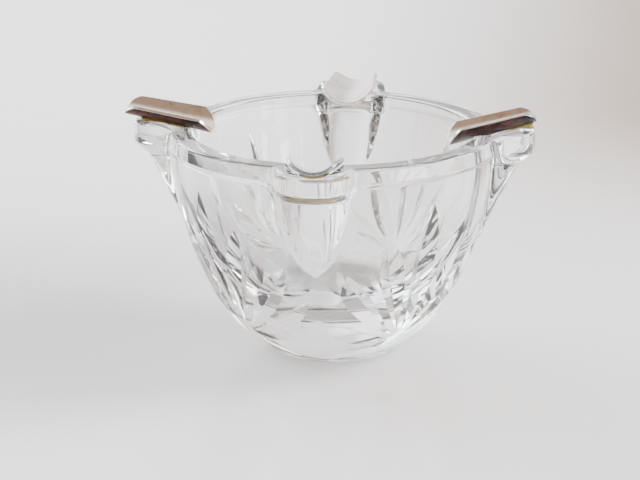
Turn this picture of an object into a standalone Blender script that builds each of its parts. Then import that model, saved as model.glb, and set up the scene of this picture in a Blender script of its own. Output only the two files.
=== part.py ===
"""Cut-crystal ashtray: a thick round glass bowl with four lugs, each lug carrying a plated cigarette rest.

Frame: metres, +Z up, origin at the centre of the flat underside. The lugs point along -Y (front),
+X (right), +Y (back) and -X (left). Lug, rest and bed shapes are written in a lug's own frame: x outward,
y sideways, z up.
"""

from math import cos, hypot, pi, radians, sin, tan

import bmesh
import bpy
from mathutils import Matrix, Vector

MM = 0.001

# Bowl: a turned wall whose outer and inner outlines follow one rounded curve.
RIM_HEIGHT = 62.4 * MM
WALL_RADIUS = 45.35 * MM
WALL_TOP = 60.0 * MM
FOOT_DROP = 3.1 * MM
CAVITY_RADIUS = 39.0 * MM
CAVITY_BASE = 14.0 * MM
CAVITY_FLOOR = 16.5 * MM
OUTLINE_POWER = 1.655
OUTLINE_ROOT = 2.587
BASE_CHAMFER = 0.6 * MM
TURN_SEGMENTS = 64
WALL_RINGS = 11
CAVITY_RINGS = 9

# Rim band: a shallow step that runs round the bowl and round every lug.
BAND_BOTTOM = 57.9 * MM
BAND_RADIUS = 45.8 * MM
BAND_TOP_RADIUS = 45.0 * MM
RIM_CHAMFER = 0.6 * MM

# Lugs: a wider head, which rises a little above the rim, over a tapered column.
LUG_HALF_WIDTH = 10.1 * MM
LUG_REACH = 55.6 * MM
LUG_RISE = 1.2 * MM
LUG_RAMP = (43.2 * MM, 47.5 * MM)
LUG_ROOT_SINK = 0.2 * MM
LUG_ROOT_DEPTH = 3.5 * MM
LUG_ROUNDNESS = 2.5
HEAD_BOTTOM = 55.4 * MM
HEAD_BEVEL = 2.4 * MM
HEAD_OVERHANG = 2.9 * MM
HEAD_STEP = 0.3 * MM
COLUMN_HALF_WIDTH = 9.3 * MM
COLUMN_REACH = 52.2 * MM
COLUMN_FOOT = 33.0 * MM
COLUMN_FOOT_REACH = 41.4 * MM
COLUMN_SPREAD = 0.32
COLUMN_FLARE = 1.1
COLUMN_RINGS = 7
LUG_SIDE_POINTS = 16

# Rests: a tapered trough of thin sheet with an arched inner end and rounded outer corners.
REST_LENGTH = 24.9 * MM
REST_INNER_RADIUS = 9.7 * MM
REST_OUTER_RADIUS = 7.7 * MM
REST_HALF_ANGLE = radians(56.5)
REST_SHEET = 1.0 * MM
REST_TONGUE = 3.9 * MM
REST_TONGUE_POWER = 3.0
REST_CORNER = 3.0 * MM
REST_CORNER_POWER = 5.0
REST_STATIONS = 9
REST_STRIPS = 14
# The rests were bonded by hand, so each sits a little differently. Each seat: where the lowest line of the
# underside starts (outward, sideways, height), then the rest's turn about +Z, its upward tilt and its roll.
REST_SEATS = {
    "front": ((32.8 * MM, -0.8 * MM, 57.9 * MM), radians(5.0), radians(14.0), radians(-1.5)),
    "right": ((31.8 * MM, 0.0 * MM, 58.5 * MM), radians(9.3), radians(14.9), radians(-6.0)),
    "back": ((32.6 * MM, 0.0 * MM, 60.4 * MM), radians(-0.7), radians(2.8), radians(0.5)),
    "left": ((33.6 * MM, 0.0 * MM, 59.9 * MM), radians(3.0), radians(12.0), radians(-1.0)),
}

# Bonding beds: thin cement layers between each rest and the groove it lies in.
GAP = 0.3 * MM
BED_THICKNESS = 0.5 * MM
BED_START = 0.30
BED_ENDS = {"front": 0.64, "right": 0.92, "back": 0.74, "left": 0.80}
BED_HALF_ANGLE = radians(22)
BED_STATIONS = 6
BED_STRIPS = 8
GROOVE_SEGMENTS = 40
GROOVE_OVERRUN = 0.5

# Cut fans: leaf-shaped V cuts that spread from one point between each pair of lugs.
FAN_TURN = radians(43)
FAN_FOOT_HEIGHT = 9.3 * MM
FAN_FOCUS_HEIGHT = 45.0 * MM
LEAF_SKEW = 1.55
LEAF_HALF_ANGLE = radians(61)
LEAF_LIFT = 0.15 * MM
LEAF_CLEARANCE = 1.5 * MM
LEAF_STATIONS = 9
# Each leaf: sideways turn of its tip from the fan's middle, height of the tip, greatest width.
LEAVES = {
    "middle": (0, 52.0 * MM, 8.3 * MM),
    "inner": (18, 44.5 * MM, 8.0 * MM),
    "outer": (35.5, 34.0 * MM, 7.8 * MM),
    "low": (44.2, 23.5 * MM, 5.6 * MM),
    "foot": (40, 15.5 * MM, 6.6 * MM),
}

LUG_TURNS = {"front": radians(-90), "right": radians(0), "back": radians(90), "left": radians(180)}


def clear_scene():
    for old in list(bpy.data.objects):
        bpy.data.objects.remove(old, do_unlink=True)


def make_material(name, color, roughness, metallic=0.0, transmission=0.0, ior=1.5):
    material = bpy.data.materials.new(name)
    material.use_nodes = True
    shader = material.node_tree.nodes["Principled BSDF"]
    shader.inputs["Base Color"].default_value = (*color, 1.0)
    shader.inputs["Roughness"].default_value = roughness
    shader.inputs["Metallic"].default_value = metallic
    shader.inputs["Transmission Weight"].default_value = transmission
    shader.inputs["IOR"].default_value = ior
    return material


def add_object(name, mesh, material=None):
    obj = bpy.data.objects.new(name, mesh)
    bpy.context.scene.collection.objects.link(obj)
    if material is not None:
        mesh.materials.append(material)
    return obj


def finish_mesh(name, bm):
    """Turn every face outward, shade round stretches smooth and return the mesh."""
    bmesh.ops.recalc_face_normals(bm, faces=bm.faces)
    mesh = bpy.data.meshes.new(name)
    bm.to_mesh(mesh)
    bm.free()
    mesh.shade_smooth()
    mesh.set_sharp_from_angle(angle=radians(30))
    return mesh


def skin(bm, rings):
    """Join closed rings of points, one after another, and return their loops of vertices."""
    loops = [[bm.verts.new(point) for point in ring] for ring in rings]
    for low, high in zip(loops, loops[1:]):
        for i in range(len(low)):
            j = (i + 1) % len(low)
            bm.faces.new((low[i], low[j], high[j], high[i]))
    return loops


def loft(bm, rings):
    """A closed solid through flat rings of points."""
    loops = skin(bm, rings)
    bm.faces.new(loops[0])
    bm.faces.new(loops[-1])


def rounded_outline(share):
    """Radius of the wall's rounded curve, 0 at its foot and 1 at its top."""
    return (1 - (1 - share) ** OUTLINE_POWER) ** (1 / OUTLINE_ROOT)


def wall_radius(z):
    share = (z + FOOT_DROP) / (WALL_TOP + FOOT_DROP)
    return WALL_RADIUS * rounded_outline(min(max(share, 0.0), 1.0))


def cavity_radius(z):
    return CAVITY_RADIUS * rounded_outline((z - CAVITY_BASE) / (RIM_HEIGHT - CAVITY_BASE))


def bowl_profile():
    """Outline of the turned bowl, from the underside's edge, over the rim, to the edge of the flat floor."""
    points = [(wall_radius(0.0) - BASE_CHAMFER, 0.0), (wall_radius(BASE_CHAMFER), BASE_CHAMFER)]
    for ring in range(1, WALL_RINGS + 1):
        z = BASE_CHAMFER + (BAND_BOTTOM - BASE_CHAMFER) * (ring / WALL_RINGS) ** 1.3
        points.append((wall_radius(z), z))
    points.append((BAND_RADIUS, BAND_BOTTOM))
    points.append((BAND_TOP_RADIUS, RIM_HEIGHT - RIM_CHAMFER))
    points.append((BAND_TOP_RADIUS - RIM_CHAMFER, RIM_HEIGHT))
    points.append((CAVITY_RADIUS + RIM_CHAMFER, RIM_HEIGHT))
    wall_top = RIM_HEIGHT - RIM_CHAMFER
    for ring in range(CAVITY_RINGS + 1):
        z = wall_top - (wall_top - CAVITY_FLOOR) * sin(pi / 2 * ring / CAVITY_RINGS)
        points.append((cavity_radius(z), z))
    return points


def make_bowl_body():
    """Spin the outline into one closed body with a flat underside and a flat floor."""
    bm = bmesh.new()
    profile = bowl_profile()
    rings = []
    for radius, z in profile:
        turns = [2 * pi * i / TURN_SEGMENTS for i in range(TURN_SEGMENTS)]
        rings.append([bm.verts.new((radius * cos(t), radius * sin(t), z)) for t in turns])
    for low, high in zip(rings, rings[1:]):
        for i in range(TURN_SEGMENTS):
            j = (i + 1) % TURN_SEGMENTS
            bm.faces.new((low[i], low[j], high[j], high[i]))
    bm.faces.new(rings[0])
    bm.faces.new(rings[-1])
    return finish_mesh("glass_bowl", bm)


def head_top(x):
    """Height of the glass under a rest: the rim, then a ramp up to the lug's head."""
    low, high = LUG_RAMP
    return RIM_HEIGHT + LUG_RISE * min(max((x - low) / (high - low), 0.0), 1.0)


def lug_ring(z, half_width, reach):
    """A lug's outline at one height: a rounded nose in front of a root buried in the wall."""
    root = wall_radius(z) - LUG_ROOT_DEPTH
    ring = []
    for i in range(LUG_SIDE_POINTS + 1):
        turn = pi * (i / LUG_SIDE_POINTS - 0.5)
        across = abs(sin(turn)) ** (2 / LUG_ROUNDNESS)
        along = abs(cos(turn)) ** (2 / LUG_ROUNDNESS)
        x = root + (reach - root) * along
        y = half_width * across * (1 if turn > 0 else -1)
        ring.append(Vector((x, y, z)))
    return ring


def follow_head_top(ring, drop):
    """Lift a ring to the head's ramped top, less a drop; its root stays just under the rim's top."""
    for point in ring:
        point.z = head_top(point.x) - drop
        if point.x < LUG_RAMP[0]:
            point.z -= LUG_ROOT_SINK
    return ring


def lug_rings():
    column_top = HEAD_BOTTOM - HEAD_STEP
    rings = []
    for i in range(COLUMN_RINGS + 1):
        share = 0.01 + 0.99 * (i / COLUMN_RINGS) ** 1.6
        z = COLUMN_FOOT + (column_top - COLUMN_FOOT) * share
        reach = COLUMN_FOOT_REACH + (COLUMN_REACH - COLUMN_FOOT_REACH) * share**COLUMN_FLARE
        rings.append(lug_ring(z, COLUMN_HALF_WIDTH * share**COLUMN_SPREAD, reach))
    rings.append(lug_ring(HEAD_BOTTOM, LUG_HALF_WIDTH - HEAD_STEP, LUG_REACH - HEAD_OVERHANG))
    rings.append(lug_ring(HEAD_BOTTOM + HEAD_BEVEL, LUG_HALF_WIDTH, LUG_REACH))
    rings.append(follow_head_top(lug_ring(RIM_HEIGHT, LUG_HALF_WIDTH, LUG_REACH), RIM_CHAMFER))
    top_ring = lug_ring(RIM_HEIGHT, LUG_HALF_WIDTH - RIM_CHAMFER, LUG_REACH - RIM_CHAMFER)
    rings.append(follow_head_top(top_ring, 0.0))
    return rings


def cap_across(bm, loop):
    """Close a loop whose two halves mirror each other with strips from side to side."""
    last = len(loop) - 1
    for i in range(last // 2 - 1):
        bm.faces.new((loop[i], loop[i + 1], loop[last - i - 1], loop[last - i]))
    nose = last // 2
    bm.faces.new((loop[nose - 1], loop[nose], loop[nose + 1]))


def make_lugs():
    bm = bmesh.new()
    for turn in LUG_TURNS.values():
        spin = Matrix.Rotation(turn, 3, "Z")
        loops = skin(bm, [[spin @ point for point in ring] for ring in lug_rings()])
        cap_across(bm, loops[0])
        cap_across(bm, loops[-1])
    return finish_mesh("lugs", bm)


def trough_point(side, run, angle, offset):
    """A point on a surface that keeps a distance, offset, outside a rest's underside.

    run is the share of the rest's length from its inner end; angle turns about the rest's curve, from its
    lowest line.
    """
    start, turn, tilt, _ = REST_SEATS[side]
    radius = REST_INNER_RADIUS + (REST_OUTER_RADIUS - REST_INNER_RADIUS) * run
    arm = radius + offset
    flat = Vector((REST_LENGTH * run, arm * sin(angle), radius - arm * cos(angle)))
    return Vector(start) + Matrix.Rotation(turn, 3, "Z") @ Matrix.Rotation(-tilt, 3, "Y") @ flat


def close_sheet(bm, under, top):
    """Join two grids of points, under and top, into one closed sheet."""
    low = [[bm.verts.new(point) for point in row] for row in under]
    high = [[bm.verts.new(point) for point in row] for row in top]
    rows, columns = len(low), len(low[0])
    for r in range(rows - 1):
        for c in range(columns - 1):
            bm.faces.new((low[r][c], low[r][c + 1], low[r + 1][c + 1], low[r + 1][c]))
            bm.faces.new((high[r][c], high[r + 1][c], high[r + 1][c + 1], high[r][c + 1]))
    for r in range(rows - 1):
        for c in (0, columns - 1):
            bm.faces.new((low[r][c], low[r + 1][c], high[r + 1][c], high[r][c]))
    for c in range(columns - 1):
        for r in (0, rows - 1):
            bm.faces.new((low[r][c], low[r][c + 1], high[r][c + 1], high[r][c]))


def rest_grid(side, offset):
    """Points of one face of a rest: an arched tongue at its inner end, round corners at its outer end."""
    roll = REST_SEATS[side][3]
    grid = []
    for r in range(REST_STATIONS + 1):
        row = []
        for c in range(REST_STRIPS + 1):
            across = 2 * c / REST_STRIPS - 1
            start = REST_TONGUE * abs(across) ** REST_TONGUE_POWER / REST_LENGTH
            end = 1 - REST_CORNER * abs(across) ** REST_CORNER_POWER / REST_LENGTH
            run = start + (end - start) * r / REST_STATIONS
            row.append(trough_point(side, run, across * REST_HALF_ANGLE + roll, offset))
        grid.append(row)
    return grid


def make_rest(side):
    spin = Matrix.Rotation(LUG_TURNS[side], 3, "Z")
    bm = bmesh.new()
    close_sheet(bm, rest_grid(side, 0.0), rest_grid(side, -REST_SHEET))
    bm.transform(spin.to_4x4())
    return finish_mesh(f"rest_{side}", bm)


def bed_grid(side, offset):
    grid = []
    for r in range(BED_STATIONS + 1):
        run = BED_START + (BED_ENDS[side] - BED_START) * r / BED_STATIONS
        turns = [BED_HALF_ANGLE * (2 * c / BED_STRIPS - 1) for c in range(BED_STRIPS + 1)]
        grid.append([trough_point(side, run, turn, offset) for turn in turns])
    return grid


def bed_underside(side):
    """The bed's lower face: it follows the groove, and lies flat where the rest is clear of the glass."""
    grid = bed_grid(side, GAP + BED_THICKNESS)
    for row in grid:
        for point in row:
            point.z = min(point.z, head_top(point.x) + GAP)
    return grid


def make_bed(side):
    spin = Matrix.Rotation(LUG_TURNS[side], 3, "Z")
    bm = bmesh.new()
    close_sheet(bm, bed_underside(side), bed_grid(side, GAP))
    bm.transform(spin.to_4x4())
    return finish_mesh(f"cement_{side}", bm)


def make_grooves():
    """Tapered round bars, longer than the rests, that cut the grooves into the rim and the lugs."""
    bm = bmesh.new()
    clearance = GAP + BED_THICKNESS + GAP
    turns = [2 * pi * i / GROOVE_SEGMENTS for i in range(GROOVE_SEGMENTS)]
    for side, lug_turn in LUG_TURNS.items():
        spin = Matrix.Rotation(lug_turn, 3, "Z")
        ends = (-GROOVE_OVERRUN, 1 + GROOVE_OVERRUN)
        loft(bm, [[spin @ trough_point(side, run, turn, clearance) for turn in turns] for run in ends])
    return finish_mesh("grooves", bm)


def wall_point(direction):
    """Where a ray from the fans' focus on the axis meets the outside of the wall."""
    near, far = 0.0, 2 * WALL_RADIUS
    focus = Vector((0, 0, FAN_FOCUS_HEIGHT))
    for _ in range(40):
        middle = (near + far) / 2
        point = focus + direction * middle
        if hypot(point.x, point.y) < wall_radius(point.z):
            near = middle
        else:
            far = middle
    return focus + direction * near


def wall_normal(point):
    step = 0.1 * MM
    slope = (wall_radius(point.z + step) - wall_radius(point.z - step)) / (2 * step)
    outward = Vector((point.x, point.y, 0)).normalized()
    return (outward - Vector((0, 0, slope))).normalized()


def on_wall(turn, z):
    radius = wall_radius(z)
    return Vector((radius * cos(turn), radius * sin(turn), z))


def leaf_rings(foot, tip, width):
    """V sections along a straight cut over the wall, deepest past the middle, running out at both ends."""
    focus = Vector((0, 0, FAN_FOCUS_HEIGHT))
    first = (foot - focus).normalized()
    last = (tip - focus).normalized()
    depth = width / (2 * tan(LEAF_HALF_ANGLE))
    sideways = first.cross(last).normalized()
    rings = []
    for i in range(LEAF_STATIONS + 1):
        run = i / LEAF_STATIONS
        point = wall_point(first.slerp(last, run))
        normal = wall_normal(point)
        share = run**LEAF_SKEW
        sink = 4 * share * (1 - share) * depth - LEAF_LIFT
        half = (sink + LEAF_CLEARANCE) * tan(LEAF_HALF_ANGLE)
        top = point + normal * LEAF_CLEARANCE
        rings.append([point - normal * sink, top + sideways * half, top - sideways * half])
    return rings


def make_leaves(turn, height, width):
    """The same leaf in each of the four fans, as cutters."""
    bm = bmesh.new()
    for quarter in range(4):
        middle = FAN_TURN + quarter * pi / 2
        foot = on_wall(middle, FAN_FOOT_HEIGHT)
        tip = on_wall(middle + radians(turn), height)
        loft(bm, leaf_rings(foot, tip, width))
    return finish_mesh("leaves", bm)


def cut_or_join(target, name, mesh, operation):
    tool = add_object(name, mesh)
    tool.hide_render = True
    tool.display_type = "WIRE"
    modifier = target.modifiers.new(name, "BOOLEAN")
    modifier.operation = operation
    modifier.solver = "EXACT"
    modifier.object = tool


def make_bowl(material):
    bowl = add_object("glass_bowl", make_bowl_body(), material)
    for name, (turn, height, width) in LEAVES.items():
        for side in (1, -1) if turn else (1,):
            mesh = make_leaves(side * turn, height, width)
            cut_or_join(bowl, f"{name}_leaves_{'left' if side > 0 else 'right'}", mesh, "DIFFERENCE")
    cut_or_join(bowl, "lugs", make_lugs(), "UNION")
    cut_or_join(bowl, "grooves", make_grooves(), "DIFFERENCE")


def main():
    clear_scene()
    crystal = make_material("crystal", (0.96, 0.98, 0.98), 0.03, transmission=1.0, ior=1.54)
    plate = make_material("plated_metal", (0.72, 0.70, 0.67), 0.14, metallic=1.0)
    cement = make_material("bonding_cement", (0.74, 0.66, 0.36), 0.4)
    make_bowl(crystal)
    for side in LUG_TURNS:
        add_object(f"rest_{side}", make_rest(side), plate)
        add_object(f"cement_{side}", make_bed(side), cement)


main()
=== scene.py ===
"""Looks of the cut-crystal ashtray: fine glass, plated rests, cement, a glossy table, light and a camera.

Everything is in the row frame: metres, +Z up, origin at the centre of the bowl's underside. The lugs point
along -Y (front), +X (right), +Y (back) and -X (left). Rest, bed and groove shapes are written in a lug's own
frame: x outward, y sideways, z up.
"""

from math import cos, hypot, pi, radians, sin, tan

import bmesh
import bpy
import numpy as np
from mathutils import Matrix, Vector, noise


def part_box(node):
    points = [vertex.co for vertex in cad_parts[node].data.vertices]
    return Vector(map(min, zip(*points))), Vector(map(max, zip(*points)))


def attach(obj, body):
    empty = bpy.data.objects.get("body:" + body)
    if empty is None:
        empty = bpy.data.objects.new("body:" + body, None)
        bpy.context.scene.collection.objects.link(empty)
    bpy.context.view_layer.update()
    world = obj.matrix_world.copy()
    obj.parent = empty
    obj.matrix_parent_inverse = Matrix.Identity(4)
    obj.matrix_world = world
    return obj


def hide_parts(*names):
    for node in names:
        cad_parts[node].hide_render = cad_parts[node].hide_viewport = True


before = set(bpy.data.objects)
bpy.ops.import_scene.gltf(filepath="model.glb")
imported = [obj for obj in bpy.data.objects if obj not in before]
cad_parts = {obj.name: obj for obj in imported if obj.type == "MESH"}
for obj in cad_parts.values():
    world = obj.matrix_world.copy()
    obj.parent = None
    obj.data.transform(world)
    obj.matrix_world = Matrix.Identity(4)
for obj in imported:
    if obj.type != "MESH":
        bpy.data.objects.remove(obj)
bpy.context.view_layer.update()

MM = 0.001


def rgb(red, green, blue):
    return (red, green, blue, 1.0)


# Bowl: the CAD model's driving sizes.
RIM_HEIGHT = 62.4 * MM
WALL_RADIUS = 45.35 * MM
WALL_TOP = 60.0 * MM
FOOT_DROP = 3.1 * MM
CAVITY_RADIUS = 39.0 * MM
CAVITY_BASE = 14.0 * MM
CAVITY_FLOOR = 16.5 * MM
OUTLINE_POWER = 1.655
OUTLINE_ROOT = 2.587
BAND_BOTTOM = 57.9 * MM
BAND_RADIUS = 45.8 * MM
BAND_TOP_RADIUS = 45.0 * MM

# Lugs.
HEAD_HALF_WIDTH = 10.1 * MM
HEAD_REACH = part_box("glass_bowl")[1].x
HEAD_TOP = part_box("glass_bowl")[1].z
HEAD_RAMP = (43.2 * MM, 47.5 * MM)
HEAD_SIDE_RAMP = (10.0 * MM, 12.0 * MM)
HEAD_LIP_RAMP = (10.0 * MM, 12.5 * MM)
HEAD_BOTTOM = 55.4 * MM
ROOT_DEPTH = 3.5 * MM
LUG_ROUNDNESS = 2.5
COLUMN_HALF_WIDTH = 9.3 * MM
COLUMN_REACH = 52.2 * MM
COLUMN_FOOT = 33.0 * MM
COLUMN_FOOT_REACH = 41.4 * MM
COLUMN_SPREAD = 0.32
COLUMN_FLARE = 1.1

# Roundings that the fine glass has: rim edges, the base's edge, the lip of the band, and the lugs' fillets.
RIM_ROUNDING = 1.1 * MM
BASE_ROUNDING = 0.8 * MM
FLOOR_FILLET = 1.6 * MM
BAND_LIP = 0.5 * MM
HEAD_LIP = 2.4 * MM
HEAD_FILLET = 4.0 * MM
FOOT_FILLET = 0.5 * MM

# Density of the glass surface. Wall rows lie a little wider apart near the base, and the lip under the band
# starts with a small step outward, a share of its whole bulge.
COLUMNS_PER_EIGHTH = 58
WALL_ROWS = 46
WALL_ROW_POWER = 0.92
BAND_ROWS = 8
LIP_ROWS = 7
LIP_STEP = 0.12
ROUNDING_ROWS = 5
TOP_ROWS = 10
CAVITY_ROWS = 40
FINE_TURNS = 4000
# Steps of a search that halves its range.
HALVINGS = 40

# Rests.
REST_LENGTH = 24.9 * MM
REST_INNER_RADIUS = 9.7 * MM
REST_OUTER_RADIUS = 7.7 * MM
REST_HALF_ANGLE = radians(56.5)
REST_SHEET = 1.0 * MM
REST_TONGUE = 3.9 * MM
REST_TONGUE_POWER = 3.0
REST_CORNER = 3.0 * MM
REST_CORNER_POWER = 5.0
REST_EDGE = 0.22 * MM
REST_STATIONS = 26
REST_STRIPS = 36
# Each seat: where the lowest line of a rest's underside starts (outward, sideways, height), then the rest's
# turn about +Z, its upward tilt and its roll.
REST_SEATS = {
    "front": ((32.8 * MM, -0.8 * MM, 57.9 * MM), radians(5.0), radians(14.0), radians(-1.5)),
    "right": ((31.8 * MM, 0.0 * MM, 58.5 * MM), radians(9.3), radians(14.9), radians(-6.0)),
    "back": ((32.6 * MM, 0.0 * MM, 60.4 * MM), radians(-0.7), radians(2.8), radians(0.5)),
    "left": ((33.6 * MM, 0.0 * MM, 59.9 * MM), radians(3.0), radians(12.0), radians(-1.0)),
}

# Cement beds and the grooves in the glass.
GROOVE_CLEARANCE = 0.65 * MM
GROOVE_SEGMENTS = 96
GROOVE_OVERRUN = 0.5
BED_START = 0.28
BED_ENDS = {"front": 0.50, "right": 0.95, "back": 0.74, "left": 0.80}
BED_HALF_ANGLE = radians(23)
BED_TOP = 0.02 * MM
BED_BITE = 0.04 * MM
BED_STATIONS = 26
BED_STRIPS = 26
BED_RAGGEDNESS = 0.12
BED_RIPPLES = 2.2

# Cut fans.
FAN_TURN = radians(43)
FAN_FOOT_HEIGHT = 9.3 * MM
FAN_FOCUS_HEIGHT = 45.0 * MM
LEAF_SKEW = 1.55
LEAF_HALF_ANGLE = radians(61)
LEAF_LIFT = 0.15 * MM
LEAF_CLEARANCE = 1.5 * MM
LEAF_STATIONS = 26
# Each leaf: sideways turn of its tip from the fan's middle, height of the tip, greatest width.
LEAVES = {
    "middle": (0, 52.0 * MM, 8.3 * MM),
    "inner": (18, 44.5 * MM, 8.0 * MM),
    "outer": (35.5, 34.0 * MM, 7.8 * MM),
    "low": (44.2, 23.5 * MM, 5.6 * MM),
    "foot": (40, 15.5 * MM, 6.6 * MM),
}

LUG_TURNS = {"front": radians(-90), "right": radians(0), "back": radians(90), "left": radians(180)}

# Camera.
CAMERA_PLACE = (0.0726, -0.6235, 0.2225)
CAMERA_HEADING = radians(6.98)
CAMERA_DOWN = radians(17.07)
CAMERA_LENS = 131.9
CAMERA_SENSOR = 36.0
# The room: soft round areas around the table. Each: direction, inner and outer radius in degrees, how far it
# covers what is behind it, colour.
ROOM_STRENGTH = 2.6
ROOM = {
    "far_wall_left": ((-0.42, 0.90, 0.28), 12, 27, 1.0, rgb(1.15, 1.19, 1.27)),
    "far_wall_right": ((0.26, 0.95, 0.18), 10, 28, 0.9, rgb(0.66, 0.67, 0.70)),
    "left_wall": ((-1.0, -0.05, 0.10), 8, 22, 0.7, rgb(0.34, 0.35, 0.38)),
    "right_wall": ((0.80, -0.60, 0.08), 8, 22, 0.7, rgb(0.36, 0.33, 0.31)),
    "near_window": ((0.85, -0.50, 0.16), 10, 15, 1.0, rgb(6.6, 6.6, 6.7)),
    "left_window": ((-0.74, 0.56, 0.38), 15, 19, 1.0, rgb(5.7, 6.0, 6.4)),
    "right_window": ((0.82, 0.25, 0.52), 11, 15, 1.0, rgb(4.9, 4.8, 4.7)),
    "ceiling": ((0.04, -0.42, 0.90), 27, 54, 0.97, rgb(0.22, 0.15, 0.105)),
    "near_wall": ((0.1, -1.0, 0.10), 14, 30, 0.8, rgb(0.20, 0.19, 0.19)),
}
# The window's soft lamp: place, where it aims, size, power and colour.
LAMP_PLACE = (1.5, 0.5, 0.9)
LAMP_AIM = (0.0, 0.0, 0.03)
LAMP_SIZE = 0.8
LAMP_POWER = 34.0
LAMP_COLOUR = (1.0, 0.99, 0.98)
# Table.
TABLE_DROP = 0.15 * MM
TABLE_RADIUS = 4.0


# --- Shader building ---


class Nodes:
    """A short way to add and link shader nodes."""

    def __init__(self, tree):
        self.tree = tree

    def add(self, kind, settings=None, **inputs):
        node = self.tree.nodes.new(kind)
        for key, value in (settings or {}).items():
            setattr(node, key, value)
        for key, value in inputs.items():
            self.feed(node.inputs[key.replace("_", " ")], value)
        return node

    def feed(self, socket, value):
        if isinstance(value, bpy.types.NodeSocket):
            self.tree.links.new(value, socket)
        else:
            socket.default_value = value

    def noise(self, vector, scale, detail=3.0, roughness=0.5):
        node = self.add("ShaderNodeTexNoise", Scale=scale, Detail=detail, Roughness=roughness)
        self.feed(node.inputs["Vector"], vector)
        return node.outputs["Fac"]

    def remap(self, value, low, high, to_low, to_high):
        node = self.add("ShaderNodeMapRange", {"interpolation_type": "SMOOTHSTEP"}, Value=value)
        for key, number in (("From Min", low), ("From Max", high), ("To Min", to_low), ("To Max", to_high)):
            node.inputs[key].default_value = number
        return node.outputs["Result"]

    def math(self, operation, first, second=0.0):
        node = self.add("ShaderNodeMath", {"operation": operation})
        self.feed(node.inputs[0], first)
        self.feed(node.inputs[1], second)
        return node.outputs[0]

    def mix(self, share, first, second):
        node = self.add("ShaderNodeMix", {"data_type": "RGBA"})
        self.feed(node.inputs["Factor"], share)
        self.feed(node.inputs["A"], first)
        self.feed(node.inputs["B"], second)
        return node.outputs["Result"]

    def stretched(self, scale):
        """Object coordinates stretched by a scale for each axis."""
        place = self.add("ShaderNodeTexCoord").outputs["Object"]
        mapping = self.add("ShaderNodeMapping", Vector=place)
        mapping.inputs["Scale"].default_value = scale
        return mapping.outputs["Vector"]

    def bump(self, height, strength, distance):
        node = self.add("ShaderNodeBump", Height=height, Strength=strength, Distance=distance)
        return node.outputs["Normal"]


def new_material(name):
    material = bpy.data.materials.new(name)
    material.use_nodes = True
    tree = material.node_tree
    shader = tree.nodes["Principled BSDF"]
    return material, Nodes(tree), shader


def crystal_material(name, waviness, smudge, clearness):
    """Clear lead glass: faint waves, smudges that soften its gloss, and a slight milky film."""
    material, nodes, shader = new_material(name)
    shader.inputs["Transmission Weight"].default_value = clearness
    shader.inputs["IOR"].default_value = 1.55
    place = nodes.stretched((1.0, 1.0, 0.35))
    waves = nodes.noise(place, 130.0, 1.5)
    tint = nodes.mix(nodes.noise(place, 60.0), rgb(0.960, 0.958, 0.953), rgb(0.918, 0.916, 0.910))
    nodes.feed(shader.inputs["Base Color"], tint)
    smudges = nodes.noise(place, 220.0, 4.0)
    nodes.feed(shader.inputs["Roughness"], nodes.remap(smudges, 0.30, 0.70, 0.0, smudge))
    nodes.feed(shader.inputs["Normal"], nodes.bump(waves, waviness, 0.0006))
    return material


def plated_material():
    """Old polished plate: bright where it is clean, tan where it has tarnished, with fine rubbed lines."""
    material, nodes, shader = new_material("plated_metal_worn")
    shader.inputs["Metallic"].default_value = 1.0
    place = nodes.stretched((1.0, 1.0, 1.0))
    along = nodes.stretched((1.0, 1.0, 6.0))
    clouds = nodes.remap(nodes.noise(place, 150.0, 4.0, 0.6), 0.40, 0.72, 0.0, 1.0)
    clean = nodes.mix(clouds, rgb(0.77, 0.71, 0.65), rgb(0.60, 0.49, 0.40))
    specks = nodes.remap(nodes.noise(place, 900.0, 2.0), 0.66, 0.74, 0.0, 0.7)
    nodes.feed(shader.inputs["Base Color"], nodes.mix(specks, clean, rgb(0.20, 0.13, 0.09)))
    rubbed = nodes.noise(along, 1500.0, 2.0)
    nodes.feed(shader.inputs["Roughness"], nodes.remap(rubbed, 0.35, 0.75, 0.07, 0.20))
    nodes.feed(shader.inputs["Normal"], nodes.bump(rubbed, 0.25, 0.00004))
    return material


def painted_shade_underside_material():
    """The rests' underside: dull and near black as painted shade, stained reddish by the cement."""
    material, nodes, shader = new_material("plated_metal_underside")
    shader.inputs["IOR"].default_value = 1.25
    place = nodes.stretched((1.0, 1.0, 1.0))
    stains = nodes.remap(nodes.noise(place, 240.0, 5.0, 0.6), 0.42, 0.68, 0.0, 1.0)
    # Painted shade: the near-black base stands for the shade under the rest; the reddish patches are cement
    # stains.
    colour = nodes.mix(stains, rgb(0.012, 0.010, 0.012), rgb(0.10, 0.034, 0.018))
    nodes.feed(shader.inputs["Base Color"], colour)
    nodes.feed(shader.inputs["Roughness"], nodes.remap(stains, 0.0, 1.0, 0.28, 0.45))
    nodes.feed(shader.inputs["Normal"], nodes.bump(stains, 0.3, 0.0001))
    return material


def end_material():
    """The rests' cut outer ends: bare grey metal, dull and faintly brushed."""
    material, nodes, shader = new_material("plated_metal_end")
    shader.inputs["Metallic"].default_value = 1.0
    brushed = nodes.noise(nodes.stretched((1.0, 1.0, 8.0)), 900.0, 3.0)
    nodes.feed(shader.inputs["Base Color"], nodes.mix(brushed, rgb(0.22, 0.24, 0.27), rgb(0.42, 0.44, 0.47)))
    nodes.feed(shader.inputs["Roughness"], nodes.remap(brushed, 0.3, 0.7, 0.22, 0.34))
    nodes.feed(shader.inputs["Normal"], nodes.bump(brushed, 0.3, 0.00004))
    return material


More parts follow.
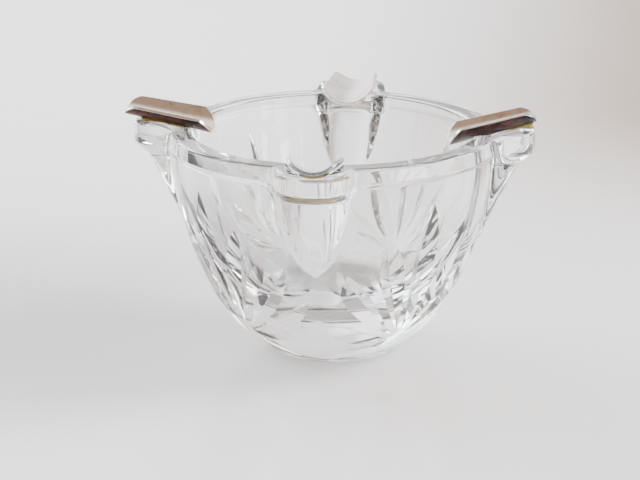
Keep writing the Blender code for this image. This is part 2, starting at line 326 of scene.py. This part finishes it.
def cement_material():
    """Aged adhesive: amber in its thick parts, paler and cloudy where it is thin."""
    material, nodes, shader = new_material("bonding_cement_aged")
    place = nodes.stretched((1.0, 1.0, 1.0))
    clouds = nodes.remap(nodes.noise(place, 320.0, 4.0, 0.6), 0.38, 0.66, 0.0, 1.0)
    nodes.feed(shader.inputs["Base Color"], nodes.mix(clouds, rgb(0.50, 0.39, 0.12), rgb(0.16, 0.10, 0.02)))
    nodes.feed(shader.inputs["Roughness"], nodes.remap(clouds, 0.0, 1.0, 0.25, 0.5))
    nodes.feed(shader.inputs["Normal"], nodes.bump(nodes.noise(place, 900.0, 3.0), 0.4, 0.0001))
    shader.inputs["Subsurface Weight"].default_value = 0.3
    shader.inputs["Subsurface Scale"].default_value = 0.001
    return material


def table_material():
    """White lacquered table: a soft sheen, very faint mottling, painted light that brightens it far off, and
    painted shade that makes it darker at the far right and at the left.
    """
    material, nodes, shader = new_material("table_lacquer")
    place = nodes.stretched((1.0, 1.0, 1.0))
    mottle = nodes.noise(place, 9.0, 3.0)
    white = nodes.mix(mottle, rgb(0.85, 0.845, 0.842), rgb(0.88, 0.875, 0.875))
    axes = nodes.add("ShaderNodeSeparateXYZ", Vector=place)
    # Painted light and shade: brighter and bluish far off, darker and warm at the far right.
    far = nodes.remap(axes.outputs["Y"], 0.05, 0.30, 0.0, 1.0)
    right = nodes.remap(axes.outputs["X"], -0.06, 0.13, 0.0, 1.0)
    bright = nodes.mix(far, white, rgb(0.96, 0.965, 0.98))
    painted_far_light_and_shade = nodes.mix(nodes.math("MULTIPLY", far, right), bright, rgb(0.25, 0.135, 0.05))
    # Painted shadow: a soft darker patch just left of the bowl, held between a front and a behind limit.
    front = nodes.remap(axes.outputs["Y"], -0.10, -0.01, 0.0, 1.0)
    behind = nodes.remap(axes.outputs["Y"], 0.13, 0.02, 0.0, 1.0)
    left = nodes.remap(axes.outputs["X"], 0.02, -0.08, 0.0, 0.9)
    painted_shadow_share = nodes.math("MULTIPLY", nodes.math("MULTIPLY", front, behind), left)
    nodes.feed(shader.inputs["Base Color"], nodes.mix(painted_shadow_share, painted_far_light_and_shade, rgb(0.52, 0.505, 0.50)))
    nodes.feed(shader.inputs["Roughness"], nodes.remap(nodes.noise(place, 40.0), 0.3, 0.7, 0.16, 0.22))
    shader.inputs["IOR"].default_value = 1.45
    return material


# --- Mesh helpers ---


def add_object(name, mesh, *materials):
    obj = bpy.data.objects.new(name, mesh)
    bpy.context.scene.collection.objects.link(obj)
    for material in materials:
        mesh.materials.append(material)
    return obj


def mesh_from(name, bm, recalculate=True):
    if recalculate:
        bmesh.ops.recalc_face_normals(bm, faces=bm.faces)
    mesh = bpy.data.meshes.new(name)
    bm.to_mesh(mesh)
    bm.free()
    mesh.shade_smooth()
    return mesh


def evaluated_mesh(obj):
    """The object's mesh with its modifiers applied."""
    graph = bpy.context.evaluated_depsgraph_get()
    return bpy.data.meshes.new_from_object(obj.evaluated_get(graph))


def boolean(target, tool, operation):
    modifier = target.modifiers.new(tool.name, "BOOLEAN")
    modifier.operation = operation
    modifier.solver = "EXACT"
    modifier.material_mode = "TRANSFER"
    modifier.object = tool


def remove(*objects):
    for obj in objects:
        bpy.data.objects.remove(obj, do_unlink=True)


# --- The glass ---


def rounded_outline(share):
    """Radius of the wall's rounded curve, 0 at its foot and 1 at its top."""
    share = np.clip(share, 0.0, 1.0)
    return (1 - (1 - share) ** OUTLINE_POWER) ** (1 / OUTLINE_ROOT)


def wall_radius(z):
    return WALL_RADIUS * rounded_outline((z + FOOT_DROP) / (WALL_TOP + FOOT_DROP))


def cavity_radius(z):
    return CAVITY_RADIUS * rounded_outline((z - CAVITY_BASE) / (RIM_HEIGHT - CAVITY_BASE))


def smooth_step(value, low, high):
    share = np.clip((value - low) / (high - low), 0.0, 1.0)
    return share * share * (3 - 2 * share)


def lug_distance(turns, half_width, reach, root):
    """How far a lug's rounded outline lies from the bowl's axis, for each turn from the lug's middle."""
    across, along = np.abs(np.sin(turns)), np.cos(turns)
    near, far = np.zeros_like(turns), np.full_like(turns, 2 * reach)
    for _ in range(HALVINGS):
        middle = (near + far) / 2
        beyond = np.maximum(middle * along - root, 0) / (reach - root)
        inside = (middle * across / half_width) ** LUG_ROUNDNESS + beyond**LUG_ROUNDNESS < 1
        near = np.where(inside, middle, near)
        far = np.where(inside, far, middle)
    return near


def joined(wall, lug, fillet):
    """The larger of two distances, with a fillet where they meet."""
    nearness = np.maximum(fillet - np.abs(wall - lug), 0) / fillet
    return np.maximum(wall, lug) + nearness**2 * fillet / 4


def lug_share(turns):
    """1 at a lug's head and 0 along the plain rim, with a short change between them."""
    return 1 - smooth_step(np.abs(BAND_RADIUS * np.sin(turns)), *HEAD_LIP_RAMP)


def lip_bottom(turns):
    return BAND_BOTTOM + (HEAD_BOTTOM - BAND_BOTTOM) * lug_share(turns)


def lip_height(turns):
    return BAND_LIP + (HEAD_LIP - BAND_LIP) * lug_share(turns)


def column_radius(turns, z):
    """Outside of the wall with the lugs' columns, below the band."""
    wall = wall_radius(z)
    share = np.clip((z - COLUMN_FOOT) / (HEAD_BOTTOM - COLUMN_FOOT), 1e-6, 1.0)
    half_width = COLUMN_HALF_WIDTH * share**COLUMN_SPREAD
    reach = COLUMN_FOOT_REACH + (COLUMN_REACH - COLUMN_FOOT_REACH) * share**COLUMN_FLARE
    lug = lug_distance(turns, half_width, reach, wall - ROOT_DEPTH)
    filleted = joined(wall, lug, FOOT_FILLET + (HEAD_FILLET - FOOT_FILLET) * share**2)
    return np.where(z > COLUMN_FOOT, filleted, wall)


def band_radius(turns, rise):
    """Outside of the rim band with the lugs' heads; rise is 0 at the band's bottom and 1 at the rim."""
    wall = np.full_like(turns, BAND_RADIUS + (BAND_TOP_RADIUS - BAND_RADIUS) * rise)
    lug = lug_distance(turns, HEAD_HALF_WIDTH, HEAD_REACH, BAND_RADIUS - ROOT_DEPTH)
    return joined(wall, lug, HEAD_FILLET)


def top_height(turns, radius):
    """Height of the rim's top, which ramps up to each lug's head."""
    outward, sideways = radius * np.cos(turns), np.abs(radius * np.sin(turns))
    rise = smooth_step(outward, *HEAD_RAMP) * (1 - smooth_step(sideways, *HEAD_SIDE_RAMP))
    return RIM_HEIGHT + (HEAD_TOP - RIM_HEIGHT) * rise


def even_turns():
    """Turns from a lug's middle to halfway to the next lug, evenly spaced along the band's outline."""
    fine = np.linspace(0, pi / 4, FINE_TURNS)
    radius = band_radius(fine, 0.5)
    x, y = radius * np.cos(fine), radius * np.sin(fine)
    walked = np.concatenate([[0], np.cumsum(np.hypot(np.diff(x), np.diff(y)))])
    return np.interp(np.linspace(0, walked[-1], COLUMNS_PER_EIGHTH + 1), walked, fine)


def glass_rows(turns):
    """Rows of (radius, height) over the turns: up the outside, over the rim and down the cavity."""
    rows = []
    flat = np.ones_like(turns)
    for angle in np.linspace(0, pi / 2, ROUNDING_ROWS + 1):
        radius = wall_radius(BASE_ROUNDING) - BASE_ROUNDING * (1 - sin(angle))
        rows.append((flat * radius, flat * BASE_ROUNDING * (1 - cos(angle))))
    lip = lip_bottom(turns)
    for share in np.linspace(0, 1, WALL_ROWS + 1)[1:]:
        z = BASE_ROUNDING + (lip - BASE_ROUNDING) * share**WALL_ROW_POWER
        rows.append((column_radius(turns, z), z))
    column = column_radius(turns, lip)
    height = lip_height(turns)
    for share in np.linspace(0, 1, LIP_ROWS + 1)[1:]:
        bulge = LIP_STEP + (1 - LIP_STEP) * share
        rows.append((column + (band_radius(turns, 0.0) - column) * bulge, lip + height * share))
    band_low = lip + height
    edge = band_radius(turns, 1.0) - RIM_ROUNDING
    band_high = top_height(turns, edge) - RIM_ROUNDING
    for share in np.linspace(0, 1, BAND_ROWS + 1)[1:]:
        rows.append((band_radius(turns, share), band_low + (band_high - band_low) * share))
    for angle in np.linspace(0, pi / 2, ROUNDING_ROWS + 1)[1:]:
        rows.append((edge + RIM_ROUNDING * cos(angle), band_high + RIM_ROUNDING * sin(angle)))
    inner = flat * (CAVITY_RADIUS + RIM_ROUNDING)
    for share in np.linspace(0, 1, TOP_ROWS + 1)[1:]:
        radius = edge + (inner - edge) * share
        rows.append((radius, top_height(turns, radius)))
    for angle in np.linspace(0, pi / 2, ROUNDING_ROWS + 1)[1:]:
        rows.append((inner - RIM_ROUNDING * sin(angle), RIM_HEIGHT - RIM_ROUNDING * (1 - cos(angle)) * flat))
    start = RIM_HEIGHT - RIM_ROUNDING
    for share in np.linspace(0, 1, CAVITY_ROWS + 1)[1:-1]:
        z = start - (start - CAVITY_BASE) * sin(pi / 2 * share)
        rows.append((flat * cavity_radius(z), flat * joined(z, CAVITY_FLOOR, FLOOR_FILLET)))
    return rows


def make_glass_body():
    """The bowl with its lugs as one closed surface of rows and columns."""
    half = even_turns()
    local = np.concatenate([half[:-1], -half[:0:-1]])
    offsets = np.concatenate([half[:-1], pi / 2 - half[:0:-1]])
    turns = np.tile(local, 4)
    placed = np.concatenate([offsets + quarter * pi / 2 for quarter in range(4)])
    bm = bmesh.new()
    loops = []
    for radius, height in glass_rows(turns):
        points = zip(radius * np.cos(placed), radius * np.sin(placed), height)
        loops.append([bm.verts.new(point) for point in points])
    count = len(turns)
    for low, high in zip(loops, loops[1:]):
        for i in range(count):
            j = (i + 1) % count
            bm.faces.new((low[i], low[j], high[j], high[i]))
    for loop, height in ((loops[0], 0.0), (loops[-1], loops[-1][0].co.z)):
        hub = bm.verts.new((0, 0, height))
        for i in range(count):
            bm.faces.new((loop[i], hub, loop[(i + 1) % count]))
    return mesh_from("glass_body", bm)


def skin(bm, rings):
    """A closed solid through flat rings of points."""
    loops = [[bm.verts.new(point) for point in ring] for ring in rings]
    for low, high in zip(loops, loops[1:]):
        for i in range(len(low)):
            j = (i + 1) % len(low)
            bm.faces.new((low[i], low[j], high[j], high[i]))
    bm.faces.new(loops[0])
    bm.faces.new(loops[-1])


def wall_point(direction):
    """Where a ray from the fans' focus on the axis meets the outside of the wall."""
    near, far = 0.0, 2 * WALL_RADIUS
    focus = Vector((0, 0, FAN_FOCUS_HEIGHT))
    for _ in range(HALVINGS):
        middle = (near + far) / 2
        point = focus + direction * middle
        if hypot(point.x, point.y) < wall_radius(point.z):
            near = middle
        else:
            far = middle
    return focus + direction * near


def wall_normal(point):
    step = 0.1 * MM
    slope = (wall_radius(point.z + step) - wall_radius(point.z - step)) / (2 * step)
    outward = Vector((point.x, point.y, 0)).normalized()
    return (outward - Vector((0, 0, slope))).normalized()


def on_wall(turn, z):
    radius = wall_radius(z)
    return Vector((radius * cos(turn), radius * sin(turn), z))


def leaf_rings(foot, tip, width):
    """V sections along a cut over the wall, deepest past the middle and running out at both ends."""
    focus = Vector((0, 0, FAN_FOCUS_HEIGHT))
    first = (foot - focus).normalized()
    last = (tip - focus).normalized()
    depth = width / (2 * tan(LEAF_HALF_ANGLE))
    sideways = first.cross(last).normalized()
    rings = []
    for i in range(LEAF_STATIONS + 1):
        run = i / LEAF_STATIONS
        point = wall_point(first.slerp(last, run))
        normal = wall_normal(point)
        share = run**LEAF_SKEW
        sink = 4 * share * (1 - share) * depth - LEAF_LIFT
        half = (sink + LEAF_CLEARANCE) * tan(LEAF_HALF_ANGLE)
        top = point + normal * LEAF_CLEARANCE
        rings.append([point - normal * sink, top + sideways * half, top - sideways * half])
    return rings


def make_leaf_cutter(material):
    """All the leaf cuts, joined into one solid."""
    parts = []
    for name, (turn, height, width) in LEAVES.items():
        for side in (1, -1) if turn else (1,):
            bm = bmesh.new()
            for quarter in range(4):
                middle = FAN_TURN + quarter * pi / 2
                foot = on_wall(middle, FAN_FOOT_HEIGHT)
                tip = on_wall(middle + radians(side * turn), height)
                skin(bm, leaf_rings(foot, tip, width))
            parts.append(add_object(f"cut_{name}_{side}", mesh_from(name, bm), material))
    for part in parts[1:]:
        boolean(parts[0], part, "UNION")
    cutter = add_object("leaf_cutter", evaluated_mesh(parts[0]))
    remove(*parts)
    return cutter


def trough_point(side, run, angle, offset):
    """A point on a surface that keeps a distance, offset, outside a rest's underside.

    run is the share of the rest's length from its inner end; angle is the turn from the rest's lowest line.
    """
    start, turn, tilt, _ = REST_SEATS[side]
    radius = REST_INNER_RADIUS + (REST_OUTER_RADIUS - REST_INNER_RADIUS) * run
    arm = radius + offset
    flat = Vector((REST_LENGTH * run, arm * sin(angle), radius - arm * cos(angle)))
    return Vector(start) + Matrix.Rotation(turn, 3, "Z") @ Matrix.Rotation(-tilt, 3, "Y") @ flat


def make_groove_cutter(material):
    """Tapered round bars that cut the rests' grooves into the rim and the lugs."""
    bm = bmesh.new()
    turns = [2 * pi * i / GROOVE_SEGMENTS for i in range(GROOVE_SEGMENTS)]
    ends = (-GROOVE_OVERRUN, 1 + GROOVE_OVERRUN)
    for side, lug_turn in LUG_TURNS.items():
        spin = Matrix.Rotation(lug_turn, 3, "Z")
        rings = [[trough_point(side, run, turn, GROOVE_CLEARANCE) for turn in turns] for run in ends]
        skin(bm, [[spin @ point for point in ring] for ring in rings])
    return add_object("groove_cutter", mesh_from("grooves", bm), material)


def mark_cut_edges(mesh):
    """Keep the edges where two cuts or a cut and the wall meet crisp, and everything else smooth."""
    bm = bmesh.new()
    bm.from_mesh(mesh)
    for edge in bm.edges:
        if len(edge.link_faces) == 2:
            a, b = edge.link_faces
            cut = a.material_index > 0 or b.material_index > 0
            crease = a.material_index != b.material_index or a.normal.angle(b.normal, 0.0) > radians(14)
            edge.smooth = not (cut and crease)
    for face in bm.faces:
        face.smooth = True
    bm.to_mesh(mesh)
    bm.free()


def make_glass():
    polished = crystal_material("crystal_polished", 0.10, 0.02, 0.98)
    ground = crystal_material("crystal_cut", 0.16, 0.08, 0.95)
    body = add_object("glass_body", make_glass_body(), polished)
    leaves = make_leaf_cutter(ground)
    grooves = make_groove_cutter(ground)
    boolean(body, leaves, "DIFFERENCE")
    boolean(body, grooves, "DIFFERENCE")
    bowl = add_object("glass_bowl_fine", evaluated_mesh(body))
    remove(body, leaves, grooves)
    mark_cut_edges(bowl.data)
    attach(bowl, "root")
    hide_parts("glass_bowl")


# --- Rests and cement ---


def close_sheet(bm, under, top):
    """Join two grids of points into one closed sheet; the first grid gets material 1 and the far end 2."""
    low = [[bm.verts.new(point) for point in row] for row in under]
    high = [[bm.verts.new(point) for point in row] for row in top]
    rows, columns = len(low), len(low[0])
    for r in range(rows - 1):
        for c in range(columns - 1):
            face = bm.faces.new((low[r][c], low[r][c + 1], low[r + 1][c + 1], low[r + 1][c]))
            face.material_index = 1
            bm.faces.new((high[r][c], high[r + 1][c], high[r + 1][c + 1], high[r][c + 1]))
    for r in range(rows - 1):
        for c in (0, columns - 1):
            bm.faces.new((low[r][c], low[r + 1][c], high[r + 1][c], high[r][c]))
    for c in range(columns - 1):
        for r in (0, rows - 1):
            face = bm.faces.new((low[r][c], low[r][c + 1], high[r][c + 1], high[r][c]))
            face.material_index = 2 if r else 0


def rest_grid(side, offset):
    """Points of one face of a rest: an arched tongue at its inner end and round corners at its outer end."""
    roll = REST_SEATS[side][3]
    grid = []
    for r in range(REST_STATIONS + 1):
        row = []
        for c in range(REST_STRIPS + 1):
            across = 2 * c / REST_STRIPS - 1
            start = REST_TONGUE * abs(across) ** REST_TONGUE_POWER / REST_LENGTH
            end = 1 - REST_CORNER * abs(across) ** REST_CORNER_POWER / REST_LENGTH
            run = start + (end - start) * r / REST_STATIONS
            row.append(trough_point(side, run, across * REST_HALF_ANGLE + roll, offset))
        grid.append(row)
    return grid


def make_rest(side, top, underside, end):
    spin = Matrix.Rotation(LUG_TURNS[side], 4, "Z")
    bm = bmesh.new()
    close_sheet(bm, rest_grid(side, 0.0), rest_grid(side, -REST_SHEET))
    bm.transform(spin)
    rest = add_object(f"rest_{side}_fine", mesh_from(f"rest_{side}", bm), top, underside, end)
    bevel = rest.modifiers.new("rolled_edges", "BEVEL")
    bevel.width = REST_EDGE
    bevel.segments = 3
    bevel.harden_normals = True
    bevel.limit_method = "ANGLE"
    bevel.angle_limit = radians(50)
    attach(rest, "root")
    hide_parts(f"rest_{side}")


def bed_grid(side, underside):
    """Points of one face of a cement bed, whose edge runs out unevenly."""
    first, last = BED_START, BED_ENDS[side]
    seed = LUG_TURNS[side] * 3
    grid = []
    for r in range(BED_STATIONS + 1):
        row = []
        for c in range(BED_STRIPS + 1):
            along, across = 2 * r / BED_STATIONS - 1, 2 * c / BED_STRIPS - 1
            ripple = noise.noise(Vector((along * BED_RIPPLES, across * BED_RIPPLES, seed)))
            wobble = BED_RAGGEDNESS * ripple
            run = (first + last) / 2 + (last - first) / 2 * along * (1 + wobble)
            turn = BED_HALF_ANGLE * across * (1 + wobble)
            point = trough_point(side, run, turn, GROOVE_CLEARANCE + BED_BITE if underside else BED_TOP)
            if underside:
                ceiling = float(top_height(np.array([0.0]), np.array([point.x]))[0]) - BED_BITE
                point.z = min(point.z, ceiling)
            row.append(point)
        grid.append(row)
    return grid


def make_bed(side, cement):
    spin = Matrix.Rotation(LUG_TURNS[side], 4, "Z")
    bm = bmesh.new()
    close_sheet(bm, bed_grid(side, True), bed_grid(side, False))
    for face in bm.faces:
        face.material_index = 0
    bm.transform(spin)
    bed = add_object(f"cement_{side}_fine", mesh_from(f"cement_{side}", bm), cement)
    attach(bed, "root")
    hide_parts(f"cement_{side}")


# --- Table, light and camera ---


def make_table():
    bm = bmesh.new()
    bmesh.ops.create_circle(bm, cap_ends=True, segments=96, radius=TABLE_RADIUS)
    table = add_object("table", mesh_from("table", bm), table_material())
    table.location.z = -TABLE_DROP


def patch(nodes, place, direction, inner, outer, strength):
    """Share of a soft round patch of the surroundings about a direction; inner and outer are its radii."""
    aim = Vector(direction).normalized()
    dot = nodes.add("ShaderNodeVectorMath", {"operation": "DOT_PRODUCT"})
    nodes.feed(dot.inputs[0], place)
    dot.inputs[1].default_value = aim
    return nodes.remap(dot.outputs["Value"], cos(outer), cos(inner), 0.0, strength)


def make_surroundings():
    """A bright soft room: cool on the left, warm on the right, with darker parts near the horizon."""
    world = bpy.data.worlds.new("room")
    bpy.context.scene.world = world
    world.use_nodes = True
    nodes = Nodes(world.node_tree)
    background = world.node_tree.nodes["Background"]
    place = nodes.add("ShaderNodeTexCoord").outputs["Generated"]
    axes = nodes.add("ShaderNodeSeparateXYZ", Vector=place)
    side = nodes.remap(axes.outputs["X"], -0.8, 0.8, 0.0, 1.0)
    colour = nodes.mix(side, rgb(0.80, 0.83, 0.87), rgb(0.78, 0.72, 0.68))
    horizon = nodes.remap(axes.outputs["Z"], 0.02, 0.16, 0.85, 0.0)
    colour = nodes.mix(horizon, colour, rgb(0.26, 0.265, 0.28))
    for direction, inner, outer, share, tone in ROOM.values():
        spot = patch(nodes, place, direction, radians(inner), radians(outer), share)
        colour = nodes.mix(spot, colour, tone)
    nodes.feed(background.inputs["Color"], colour)
    background.inputs["Strength"].default_value = ROOM_STRENGTH


def make_lamp():
    light = bpy.data.lights.new("window", "AREA")
    light.shape = "DISK"
    light.size = LAMP_SIZE
    light.energy = LAMP_POWER
    light.color = LAMP_COLOUR
    lamp = bpy.data.objects.new("window", light)
    bpy.context.scene.collection.objects.link(lamp)
    lamp.location = LAMP_PLACE
    lamp.rotation_euler = (Vector(LAMP_AIM) - Vector(LAMP_PLACE)).to_track_quat("-Z", "Y").to_euler()


def make_camera():
    data = bpy.data.cameras.new("camera")
    data.lens = CAMERA_LENS
    data.sensor_width = CAMERA_SENSOR
    camera = bpy.data.objects.new("camera", data)
    bpy.context.scene.collection.objects.link(camera)
    camera.location = CAMERA_PLACE
    camera.rotation_euler = (pi / 2 - CAMERA_DOWN, 0.0, CAMERA_HEADING)
    bpy.context.scene.camera = camera


def main():
    make_glass()
    plate = plated_material()
    underside = painted_shade_underside_material()
    end = end_material()
    cement = cement_material()
    for side in LUG_TURNS:
        # Painted shade: the front, right and left rests get the near-black underside; the back rest keeps
        # the plate.
        make_rest(side, plate, plate if side == "back" else underside, end)
        make_bed(side, cement)
    make_table()
    make_surroundings()
    make_lamp()
    make_camera()


main()
bpy.context.view_layer.update()
